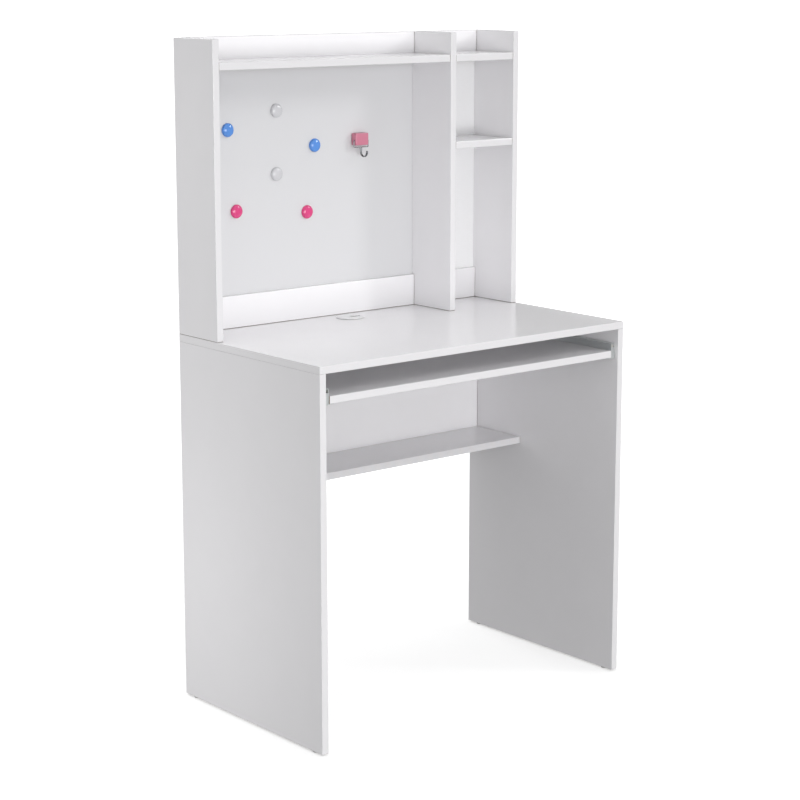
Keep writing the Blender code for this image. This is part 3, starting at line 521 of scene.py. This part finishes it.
class DESK_OT_boards(bpy.types.Operator):
    """Finishes the melamine boards, with a plastic band round their edges"""

    bl_idname = "desk.boards"
    bl_label = "Boards"

    def execute(self, context):
        finish = desk_settings()[0]
        finish_node("desktop", melamine("melamine_desktop", finish, white=(1, 0, 1)))
        # A board that is thin along x is a side, along y a rail, and along z a shelf
        kinds = (
            melamine("melamine_side", finish, white=(1, 0, 1), shade_foot=1),
            melamine("melamine_rail", finish, white=(0, 1, 0), shade_ends=1, shade_foot=1),
            melamine("melamine_shelf", finish, white=(0, 0, 1), shade_ends=1))
        for name in BOARDS:
            low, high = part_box(name)
            size = high - low
            thin = min(range(3), key=lambda index: size[index])
            finish_node(name, kinds[thin])
        return {"FINISHED"}


class DESK_OT_back_panels(bpy.types.Operator):
    """Finishes the steel magnet board and the fibreboard back panel"""

    bl_idname = "desk.back_panels"
    bl_label = "Back panels"

    def execute(self, context):
        finish = desk_settings()[0]
        finish_node("magnet_board", powder_coat(finish))
        finish_node("hutch_back_panel", lacquered_fibreboard(finish))
        return {"FINISHED"}


# Where the screws stand along a rail, as shares of its length
SCREW_SHARES = (0.16, 0.5, 0.84)
# Round of a screw head and depth of its recess, as shares of the head's rise
HEAD_ROUND = 0.45
RECESS_DEPTH = 0.6
# Half the thickness of a recess's blade, as a share of its width
BLADE_HALF = 1 / 8
# Points on a head's round, in radians from the head's axis
HEAD_ANGLES = (1.2, 0.8, 0.4)


def screw_head(base, direction, across, radius, rise, cross):
    """A round screw head with a cross recess, standing on base; across is a direction square to it."""
    edge = rise * HEAD_ROUND
    profile = [(0, 0), (radius, 0), (radius, rise - edge)]
    for angle in HEAD_ANGLES:
        profile.append((radius - edge + edge * math.sin(angle), rise - edge + edge * math.cos(angle)))
    profile += [(radius - edge, rise), (0, rise)]
    head = turned(profile, base, direction, sides=32)
    direction = Vector(direction)
    across = Vector(across)
    other = direction.cross(across)
    top = Vector(base) + direction * rise
    for run, side in ((across, other), (other, across)):
        blade = cross * BLADE_HALF
        slot = rounded_box((-cross / 2, -blade, -rise * RECESS_DEPTH), (cross / 2, blade, rise), 0)
        turn = Matrix((run, side, direction)).transposed().to_4x4()
        bmesh.ops.transform(slot, matrix=Matrix.Translation(top) @ turn, verts=slot.verts)
        head = cut(head, slot)
    return head


class DESK_OT_slides(bpy.types.Operator):
    """Finishes the roller slides of the keyboard tray, with their screws"""

    bl_idname = "desk.slides"
    bl_label = "Slides"

    def execute(self, context):
        finish, fittings, _ = desk_settings()
        zinc = zinc_plate(finish)
        # A satin mould: its grain is about 0.3 mm, drawn at 0.8 mm so that it shows
        nylon = moulded_plastic(
            "nylon_roller", finish.nylon, grain=0.8 * MM, roughness=0.42, relief=0.02 * MM)
        for name, side in zip(SIDES, (-1, 1)):
            finish_node(f"{name}_desk_rail", zinc)
            finish_node(f"{name}_tray_rail", zinc)
            for end in ("front", "rear"):
                self.add_roller(f"{name}_{end}_roller", side, nylon)
            self.add_screws(name, side, zinc, fittings)
        return {"FINISHED"}

    def add_roller(self, node, side, nylon):
        """A nylon roller with rounded tread and a raised hub."""
        low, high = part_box(node)
        middle = (low + high) / 2
        radius = (high.z - low.z) / 2
        width = high.x - low.x
        bore = 2.8 * MM
        hub = 4.6 * MM
        tread = 6.8 * MM
        dish = 0.7 * MM
        edge = 0.9 * MM
        profile = [(bore, 0), (hub, 0), (hub + dish / 2, dish), (tread, dish), (tread + dish / 2, 0)]
        profile += arc((radius - edge, edge), edge, -90, 0, 4)
        profile += arc((radius - edge, width - edge), edge, 0, 90, 4)
        profile += [(tread + dish / 2, width), (tread, width - dish), (hub + dish / 2, width - dish)]
        profile += [(hub, width), (bore, width)]
        base = Vector((middle.x + side * width / 2, middle.y, middle.z))
        shape = turned(profile, base, (-side, 0, 0), closed=True, sides=48)
        add_piece(f"{node}_tread", shape, nylon, node, (node,))

    def add_screws(self, name, side, zinc, fittings):
        """Flat screws through the desk rail's web and pan heads under the tray rail's lip."""
        rail_low, rail_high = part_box(f"{name}_desk_rail")
        tray_low, tray_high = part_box(f"{name}_tray_rail")
        strip = 1.2 * MM
        lip_inset = 6 * MM
        flat_rise = 0.45 * MM
        web_x = (rail_high.x if side > 0 else rail_low.x) - side * strip
        web_z = middle_of(f"{name}_rear_roller").z
        lip_x = (tray_low.x if side > 0 else tray_high.x) + side * lip_inset
        length = rail_high.y - rail_low.y
        for index, share in enumerate(SCREW_SHARES):
            y = rail_low.y + length * share
            flat = screw_head(
                (web_x, y, web_z), (-side, 0, 0), (0, 1, 0), fittings.screw_head, flat_rise, fittings.cross)
            add_piece(f"{name}_rail_screw_{index}", flat, zinc, "desk")
            pan = screw_head(
                (lip_x, y, tray_low.z), (0, 0, -1), (1, 0, 0), fittings.screw_head, fittings.screw_rise,
                fittings.cross)
            add_piece(f"{name}_tray_screw_{index}", pan, zinc, "tray")


class DESK_OT_grommet(bpy.types.Operator):
    """Makes the cable grommet's sleeve and its notched cap"""

    bl_idname = "desk.grommet"
    bl_label = "Cable grommet"

    def execute(self, context):
        finish, fittings, _ = desk_settings()
        # A satin mould: its grain is about 0.4 mm, drawn at 1.2 mm so that it shows
        plastic = moulded_plastic(
            "moulded_white_grommet", finish.moulded, grain=1.2 * MM, roughness=0.38, relief=0.02 * MM)
        low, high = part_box("grommet_sleeve")
        middle = (low + high) / 2
        base = Vector((middle.x, middle.y, 0))
        desk_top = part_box("desktop")[1].z
        flange = (high.x - low.x) / 2
        cap_low, cap_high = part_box("grommet_cap")
        recess = (cap_high.y - cap_low.y) / 2 + FIT
        wall = 1.5 * MM
        ledge = 2.5 * MM
        sleeve = recess + wall
        bore = recess - ledge
        edge = fittings.flange_round
        chamfer = 0.4 * MM
        lip = 0.6 * MM
        profile = [(recess, high.z - chamfer), (recess, cap_low.z - FIT), (bore, cap_low.z - FIT)]
        profile += [(bore, low.z), (sleeve, low.z), (sleeve, desk_top + FIT)]
        profile += [(flange - 2 * lip, desk_top + FIT), (flange - lip, desk_top + FIT + lip)]
        profile += arc((flange - edge, high.z - edge), edge, 0, 90, 5)
        profile += [(recess + chamfer, high.z)]
        shape = turned(profile, base, (0, 0, 1), closed=True, sides=96)
        add_piece("grommet_ring", shape, plastic, "desk", ("grommet_sleeve",))
        self.add_cap(base, cap_low, cap_high, plastic, fittings)
        return {"FINISHED"}

    def add_cap(self, base, low, high, plastic, fittings):
        """The cap, with a rounded rim, a fine ring groove and a notch from its middle out to the rim."""
        radius = (high.y - low.y) / 2
        edge = 0.4 * MM
        groove_inset = 3.6 * MM
        groove_depth = 0.25 * MM
        groove = radius - groove_inset
        profile = [(0, low.z), (radius - edge, low.z), (radius, low.z + edge)]
        profile += arc((radius - edge, high.z - edge), edge, 0, 90, 4)
        profile += [(groove + 2 * groove_depth, high.z), (groove + groove_depth, high.z - groove_depth)]
        profile += [(groove - groove_depth, high.z - groove_depth), (groove - 2 * groove_depth, high.z)]
        profile += [(0, high.z)]
        cap = turned(profile, base, (0, 0, 1), sides=96)
        past = 1 * MM
        half = fittings.notch_width / 2
        outline = [(radius + past, -half), (radius + past, half)]
        outline += arc((half - fittings.notch_end, 0), half, 90, 270, 16)
        notch = bmesh.new()
        face = notch.faces.new([notch.verts.new((x, y, low.z - past)) for x, y in outline])
        pushed = bmesh.ops.extrude_face_region(notch, geom=[face])["geom"]
        moved = [item for item in pushed if isinstance(item, bmesh.types.BMVert)]
        bmesh.ops.translate(notch, vec=(0, 0, high.z - low.z + 2 * past), verts=moved)
        place = Matrix.Translation(base) @ Matrix.Rotation(fittings.cap_turn, 4, "Z")
        bmesh.ops.transform(notch, matrix=place, verts=notch.verts)
        cap = cut(cap, notch)
        add_piece(
            "grommet_notched_cap", cap, plastic, "grommet_cap", ("grommet_cap",))


class DESK_OT_magnets(bpy.types.Operator):
    """Makes the round magnets on the board"""

    bl_idname = "desk.magnets"
    bl_label = "Magnets"

    def execute(self, context):
        finish, fittings, _ = desk_settings()
        # A polished mould: its marks are about 0.2 mm, drawn at 0.9 mm so that they show
        kinds = {}
        for tint in ("blue", "white", "pink"):
            kinds[tint] = moulded_plastic(
                f"{tint}_moulded_magnet", getattr(finish, tint), grain=0.9 * MM, roughness=0.07,
                relief=0.002 * MM)
        for node in sorted(frame["nodes"]):
            if "_magnet_" in node:
                tint = node.split("_")[0]
                self.add_magnet(node, kinds[tint], f"{tint}_magnet_plastic", fittings)
        return {"FINISHED"}

    def add_magnet(self, node, plastic, slot, fittings):
        """A domed plastic magnet with a rim and a fine groove round it."""
        low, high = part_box(node)
        middle = (low + high) / 2
        radius = (high.x - low.x) / 2
        height = high.y - low.y
        rim = 2.6 * MM
        chamfer = 0.3 * MM
        groove_width = 0.4 * MM
        dome_inset = 0.6 * MM
        bevel = fittings.magnet_bevel
        groove = fittings.magnet_groove
        dome_edge = radius - dome_inset
        dome_foot = rim + groove_width
        profile = [(0, 0), (radius - bevel, 0)]
        profile += arc((radius - bevel, bevel), bevel, -90, 0, 4)
        profile += [(radius, rim - chamfer), (radius - chamfer, rim), (dome_edge - groove, rim)]
        profile += [(dome_edge - groove, dome_foot)]
        for across, up in arc((0, 0), 1.0, 4, 88, 14):
            profile.append((dome_edge * across, dome_foot + (height - dome_foot) * up))
        profile.append((0, height))
        shape = turned(profile, (middle.x, high.y, middle.z), (0, -1, 0))
        add_piece(f"{node}_dome", shape, plastic, node, (node,))


class DESK_OT_hook(bpy.types.Operator):
    """Makes the magnet hook's body and its wire"""

    bl_idname = "desk.hook"
    bl_label = "Magnet hook"

    def execute(self, context):
        finish, fittings, _ = desk_settings()
        # A satin mould: its grain is about 0.3 mm, drawn at 0.9 mm so that it shows
        plastic = moulded_plastic(
            "pink_moulded_hook", finish.hook, grain=0.9 * MM, roughness=0.3, relief=0.01 * MM)
        chrome = chrome_plate(finish)
        finish_node("hook_magnet", sintered_ferrite(finish))
        low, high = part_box("hook_body")
        middle = (low + high) / 2
        body = rounded_box(low, high, fittings.hook_round)
        disc_low, disc_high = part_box("hook_magnet")
        past = 1 * MM
        pocket_radius = (disc_high.x - disc_low.x) / 2 + FIT
        pocket_depth = disc_high.y - disc_low.y + FIT + past
        pocket = turned(
            [(0, 0), (pocket_radius, 0), (pocket_radius, pocket_depth), (0, pocket_depth)],
            ((disc_low.x + disc_high.x) / 2, disc_low.y - FIT, (disc_low.z + disc_high.z) / 2), (0, 1, 0))
        body = cut(body, pocket)
        pivot = self.pivot()
        bore = fittings.wire_radius + FIT
        hole_depth = PIN_REACH + past
        for side in (-1, 1):
            start = middle.x + side * ((high.x - low.x) / 2 - PIN_REACH)
            hole = turned(
                [(0, 0), (bore, 0), (bore, hole_depth), (0, hole_depth)], (start, pivot.y, pivot.z),
                (side, 0, 0), sides=24)
            body = cut(body, hole)
        add_piece("hook_block", body, plastic, "hook", ("hook_body",))
        self.add_wire(pivot, low, high, chrome, fittings)
        return {"FINISHED"}

    def pivot(self):
        """The point on the wire's pivot axis that the record gives."""
        for joint in frame["joints"]:
            if joint["name"] == "hook_swing":
                return Vector(joint["pos_m"])
        raise RuntimeError("the record has no joint named hook_swing")

    def add_wire(self, pivot, low, high, chrome, fittings):
        """One wire from side to side of the body, doubled into a hook in its middle."""
        radius = fittings.wire_radius
        half = (high.x - low.x) / 2
        arm = half + radius + 2 * FIT
        bar = -fittings.wire_drop
        stem = bar - fittings.hook_stem
        bend = fittings.hook_bend
        strand = radius + FIT
        tip = 2 * MM
        corner_bend = 2 * MM
        route = [(half - PIN_REACH + FIT, 0, 0), (arm, 0, 0), (arm, 0, bar)]
        route += [(strand, 0, bar), (strand, 0, stem)]
        for y, z in arc((-bend, stem), bend, 0, -180, 24)[1:-1]:
            route.append((strand, y, z))
        route.append((strand, -2 * bend, stem + tip))
        other_half = [(-x, y, z) for x, y, z in reversed(route)]
        points = [Vector(point) + pivot for point in route + other_half]
        shape = wire(rounded_route(points, corner_bend, steps=8), radius, sides=16)
        add_piece("hook_bail", shape, chrome, "hook_wire", ("hook_wire",))


def rounded_route(points, radius, steps):
    """Points along a route, with each corner turned into a smooth bend."""
    closest = 0.15 * MM
    route = [points[0]]
    for before, corner, after in zip(points, points[1:], points[2:]):
        back = before - corner
        onward = after - corner
        reach = min(radius, back.length / 2, onward.length / 2)
        start = corner + back.normalized() * reach
        end = corner + onward.normalized() * reach
        for step in range(steps + 1):
            part = step / steps
            point = start * (1 - part) ** 2 + corner * 2 * part * (1 - part) + end * part ** 2
            if (point - route[-1]).length > closest:
                route.append(point)
    route.append(points[-1])
    return route


def wire(route, radius, sides):
    """A round wire along a route, closed at both ends."""
    shape = bmesh.new()
    rings = []
    across = None
    for index, point in enumerate(route):
        ahead = (route[min(index + 1, len(route) - 1)] - route[max(index - 1, 0)]).normalized()
        if across is None:
            across = ahead.orthogonal()
        across = (across - ahead * across.dot(ahead)).normalized()
        other = ahead.cross(across)
        ring = []
        for side in range(sides):
            angle = 2 * math.pi * side / sides
            spoke = across * math.cos(angle) + other * math.sin(angle)
            ring.append(shape.verts.new(point + spoke * radius))
        rings.append(ring)
    for ring, following in zip(rings, rings[1:]):
        for side in range(sides):
            onward = (side + 1) % sides
            shape.faces.new((ring[side], ring[onward], following[onward], following[side]))
    shape.faces.new(rings[0])
    shape.faces.new(rings[-1])
    return shape


class DESK_OT_fittings(bpy.types.Operator):
    """Finishes the glides, cam locks, bolts, screws and dowels"""

    bl_idname = "desk.fittings"
    bl_label = "Fittings"

    def execute(self, context):
        finish = desk_settings()[0]
        zinc = bpy.data.materials["zinc_plated_steel"]
        casting = zinc_casting(finish)
        wood = beech(finish)
        # A dull mould: its grain is about 0.3 mm, drawn at 0.8 mm so that it shows
        glide = moulded_plastic(
            "moulded_grey_glide", finish.glide, grain=0.8 * MM, roughness=0.5, relief=0.02 * MM)
        for side in SIDES:
            for end in ENDS:
                finish_node(f"glide_{side}_{end}", glide)
                finish_node(f"cam_lock_{side}_{end}", casting)
                finish_node(f"cam_bolt_{side}_{end}", zinc)
                finish_node(f"hutch_dowel_{side}_{end}", wood)
                finish_node(f"shelf_dowel_{side}_{end}", wood)
        for end in ENDS:
            finish_node(f"divider_screw_{end}", zinc)
        return {"FINISHED"}


def floor_paint(stage):
    """Matt floor paint, rolled on."""
    # To the eye: a flat pale grey with a faint mottle, which glows to white further from the desk
    made, tree, shader = start_material("pale_studio_floor", Roughness=0.9, Emission_Color=(1, 1, 1, 1))
    place = add_node(tree, "ShaderNodeTexCoord")
    # The roller's mottle is about 40 mm across
    mottle = add_node(tree, "ShaderNodeTexNoise", {"Vector": place.outputs["Object"], "Scale": 1 / (40 * MM)})
    paint = add_node(
        tree, "ShaderNodeMix",
        {"Factor": mottle.outputs["Fac"], "A": (*stage.floor, 1), "B": shaded(stage.floor, 0.99)},
        data_type="RGBA")
    tree.links.new(paint.outputs["Result"], shader.inputs["Base Color"])
    distance = add_node(tree, "ShaderNodeVectorMath", {0: place.outputs["Object"]}, operation="LENGTH")
    glow = add_node(
        tree, "ShaderNodeMapRange",
        {"Value": distance.outputs["Value"], "From Min": GLOW_START, "From Max": GLOW_END,
         "To Min": stage.glow, "To Max": 1.0})
    tree.links.new(glow.outputs["Result"], shader.inputs["Emission Strength"])
    return made


class DESK_OT_stage(bpy.types.Operator):
    """Lays the floor, hangs the lights and sets the camera"""

    bl_idname = "desk.stage"
    bl_label = "Stage"

    def execute(self, context):
        stage = desk_settings()[2]
        self.lay_floor(stage)
        self.set_surround(stage)
        self.hang_lamps(stage)
        self.set_camera(stage)
        context.scene.view_settings.view_transform = "Standard"
        return {"FINISHED"}

    def lay_floor(self, stage):
        """A pale floor that curves up into a wall all round."""
        radius = 12.0
        bend = 3.0
        wall_top = 9.0
        profile = [(0, 0)] + arc((radius - bend, bend), bend, -90, 0, 24) + [(radius, wall_top)]
        shape = turned(profile, (0, 0, 0), (0, 0, 1), sides=96)
        mesh = bpy.data.meshes.new("studio_floor")
        shape.to_mesh(mesh)
        shape.free()
        mesh.shade_smooth()
        mesh.materials.append(floor_paint(stage))
        floor = bpy.data.objects.new("studio_floor", mesh)
        # The surround lights the desk, so the cove is only looked at
        floor.visible_diffuse = False
        floor.visible_glossy = False
        floor.visible_shadow = False
        bpy.context.scene.collection.objects.link(floor)

    def set_surround(self, stage):
        """A white surround with its own strength in each direction."""
        world = bpy.data.worlds.new("white_surround")
        world.use_nodes = True
        tree = world.node_tree
        place = add_node(tree, "ShaderNodeTexCoord")
        onward = (1, (stage.right, stage.back, stage.above))
        backward = (-1, (stage.left, stage.front, stage.below))
        strengths = []
        for sign, sides in (onward, backward):
            toward = add_node(
                tree, "ShaderNodeVectorMath", {0: place.outputs["Generated"], 1: (sign, sign, sign)},
                operation="MULTIPLY")
            ahead = add_node(
                tree, "ShaderNodeVectorMath", {0: toward.outputs["Vector"], 1: (0, 0, 0)},
                operation="MAXIMUM")
            share = add_node(
                tree, "ShaderNodeVectorMath", {0: ahead.outputs["Vector"], 1: ahead.outputs["Vector"]},
                operation="MULTIPLY")
            strength = add_node(
                tree, "ShaderNodeVectorMath", {0: share.outputs["Vector"], 1: sides}, operation="DOT_PRODUCT")
            strengths.append(strength.outputs["Value"])
        total = add_node(tree, "ShaderNodeMath", {0: strengths[0], 1: strengths[1]}, operation="ADD")
        background = tree.nodes["Background"]
        background.inputs["Color"].default_value = (1, 1, 1, 1)
        tree.links.new(total.outputs[0], background.inputs["Strength"])
        bpy.context.scene.world = world

    def hang_lamps(self, stage):
        """Six soft lamps; the two close to the left side don't show in reflections."""
        self.add_lamp(
            "softbox", place=(-0.9, -4.1, 0.85), aim=(0.0, 0.0, 0.75), power=stage.softbox, size=(3.0, 1.4))
        self.add_lamp(
            "key_light", place=(3.43, -2.9, 3.17), aim=(0.1, 0.1, 1.0), power=stage.key, size=(0.8, 1.1))
        self.add_lamp(
            "fill_light", place=(-3.2, -2.0, 1.2), aim=(0.0, 0.0, 0.7), power=stage.fill, size=(2.0, 1.6))
        low_side = self.add_lamp(
            "side_light", place=(-1.0, 0.28, 0.24), aim=(-0.4, 0.2, 0.24), power=stage.side, size=(0.4, 0.6))
        high_side = self.add_lamp(
            "high_side_light", place=(-1.0, 0.3, 1.2), aim=(-0.4, 0.2, 1.15), power=stage.high_side,
            size=(0.4, 0.6))
        self.add_lamp(
            "rear_light", place=(0.5, 4.0, 2.6), aim=(0.0, 0.2, 0.8), power=stage.rear, size=(1.8, 1.8))
        for lamp in (low_side, high_side):
            lamp.visible_glossy = False

    def add_lamp(self, name, place, aim, power, size):
        """A soft rectangular lamp at a place, turned to a point."""
        data = bpy.data.lights.new(name, "AREA")
        data.shape = "RECTANGLE"
        data.energy = power
        data.size = size[0]
        data.size_y = size[1]
        lamp = bpy.data.objects.new(name, data)
        lamp.location = place
        lamp.rotation_euler = (Vector(aim) - Vector(place)).to_track_quat("-Z", "Y").to_euler()
        lamp.visible_camera = False
        bpy.context.scene.collection.objects.link(lamp)
        return lamp

    def set_camera(self, stage):
        """The camera at the photograph's angle: looking down by the pitch and turned to the right."""
        place = (-2.7511, -3.2967, 1.4951)
        pitch = 10.998
        turn = 39.704
        shift = -0.03
        data = bpy.data.cameras.new("camera")
        data.sensor_width = 36.0
        data.lens = stage.focal
        data.shift_y = shift
        camera = bpy.data.objects.new("camera", data)
        camera.location = place
        camera.rotation_euler = (math.radians(90 - pitch), 0, math.radians(-turn))
        bpy.context.scene.collection.objects.link(camera)
        bpy.context.scene.camera = camera


OPERATORS = (
    DESK_OT_boards, DESK_OT_back_panels, DESK_OT_slides, DESK_OT_grommet, DESK_OT_magnets, DESK_OT_hook,
    DESK_OT_fittings, DESK_OT_stage)


class DESK_PT_looks(bpy.types.Panel):
    """Lists the desk's operators and settings"""

    bl_idname = "DESK_PT_looks"
    bl_label = "Desk"
    bl_space_type = "VIEW_3D"
    bl_region_type = "UI"
    bl_category = "Desk"

    def draw(self, context):
        for operator in OPERATORS:
            self.layout.operator(operator.bl_idname)
        for group in desk_settings():
            for name in group.bl_rna.properties.keys():
                if name not in ("rna_type", "name"):
                    self.layout.prop(group, name)


CLASSES = (DeskFinish, DeskFittings, DeskStage, *OPERATORS, DESK_PT_looks)


def register():
    """Registers the classes and hangs their settings on the scene."""
    for item in CLASSES:
        bpy.utils.register_class(item)
    bpy.types.Scene.desk_finish = PointerProperty(type=DeskFinish)
    bpy.types.Scene.desk_fittings = PointerProperty(type=DeskFittings)
    bpy.types.Scene.desk_stage = PointerProperty(type=DeskStage)


def unregister():
    """Takes the settings and the classes away again."""
    del bpy.types.Scene.desk_stage
    del bpy.types.Scene.desk_fittings
    del bpy.types.Scene.desk_finish
    for item in reversed(CLASSES):
        bpy.utils.unregister_class(item)


def main():
    """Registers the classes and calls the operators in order."""
    register()
    bpy.ops.desk.boards()
    bpy.ops.desk.back_panels()
    bpy.ops.desk.slides()
    bpy.ops.desk.grommet()
    bpy.ops.desk.magnets()
    bpy.ops.desk.hook()
    bpy.ops.desk.fittings()
    bpy.ops.desk.stage()


if __name__ == "__main__":
    main()
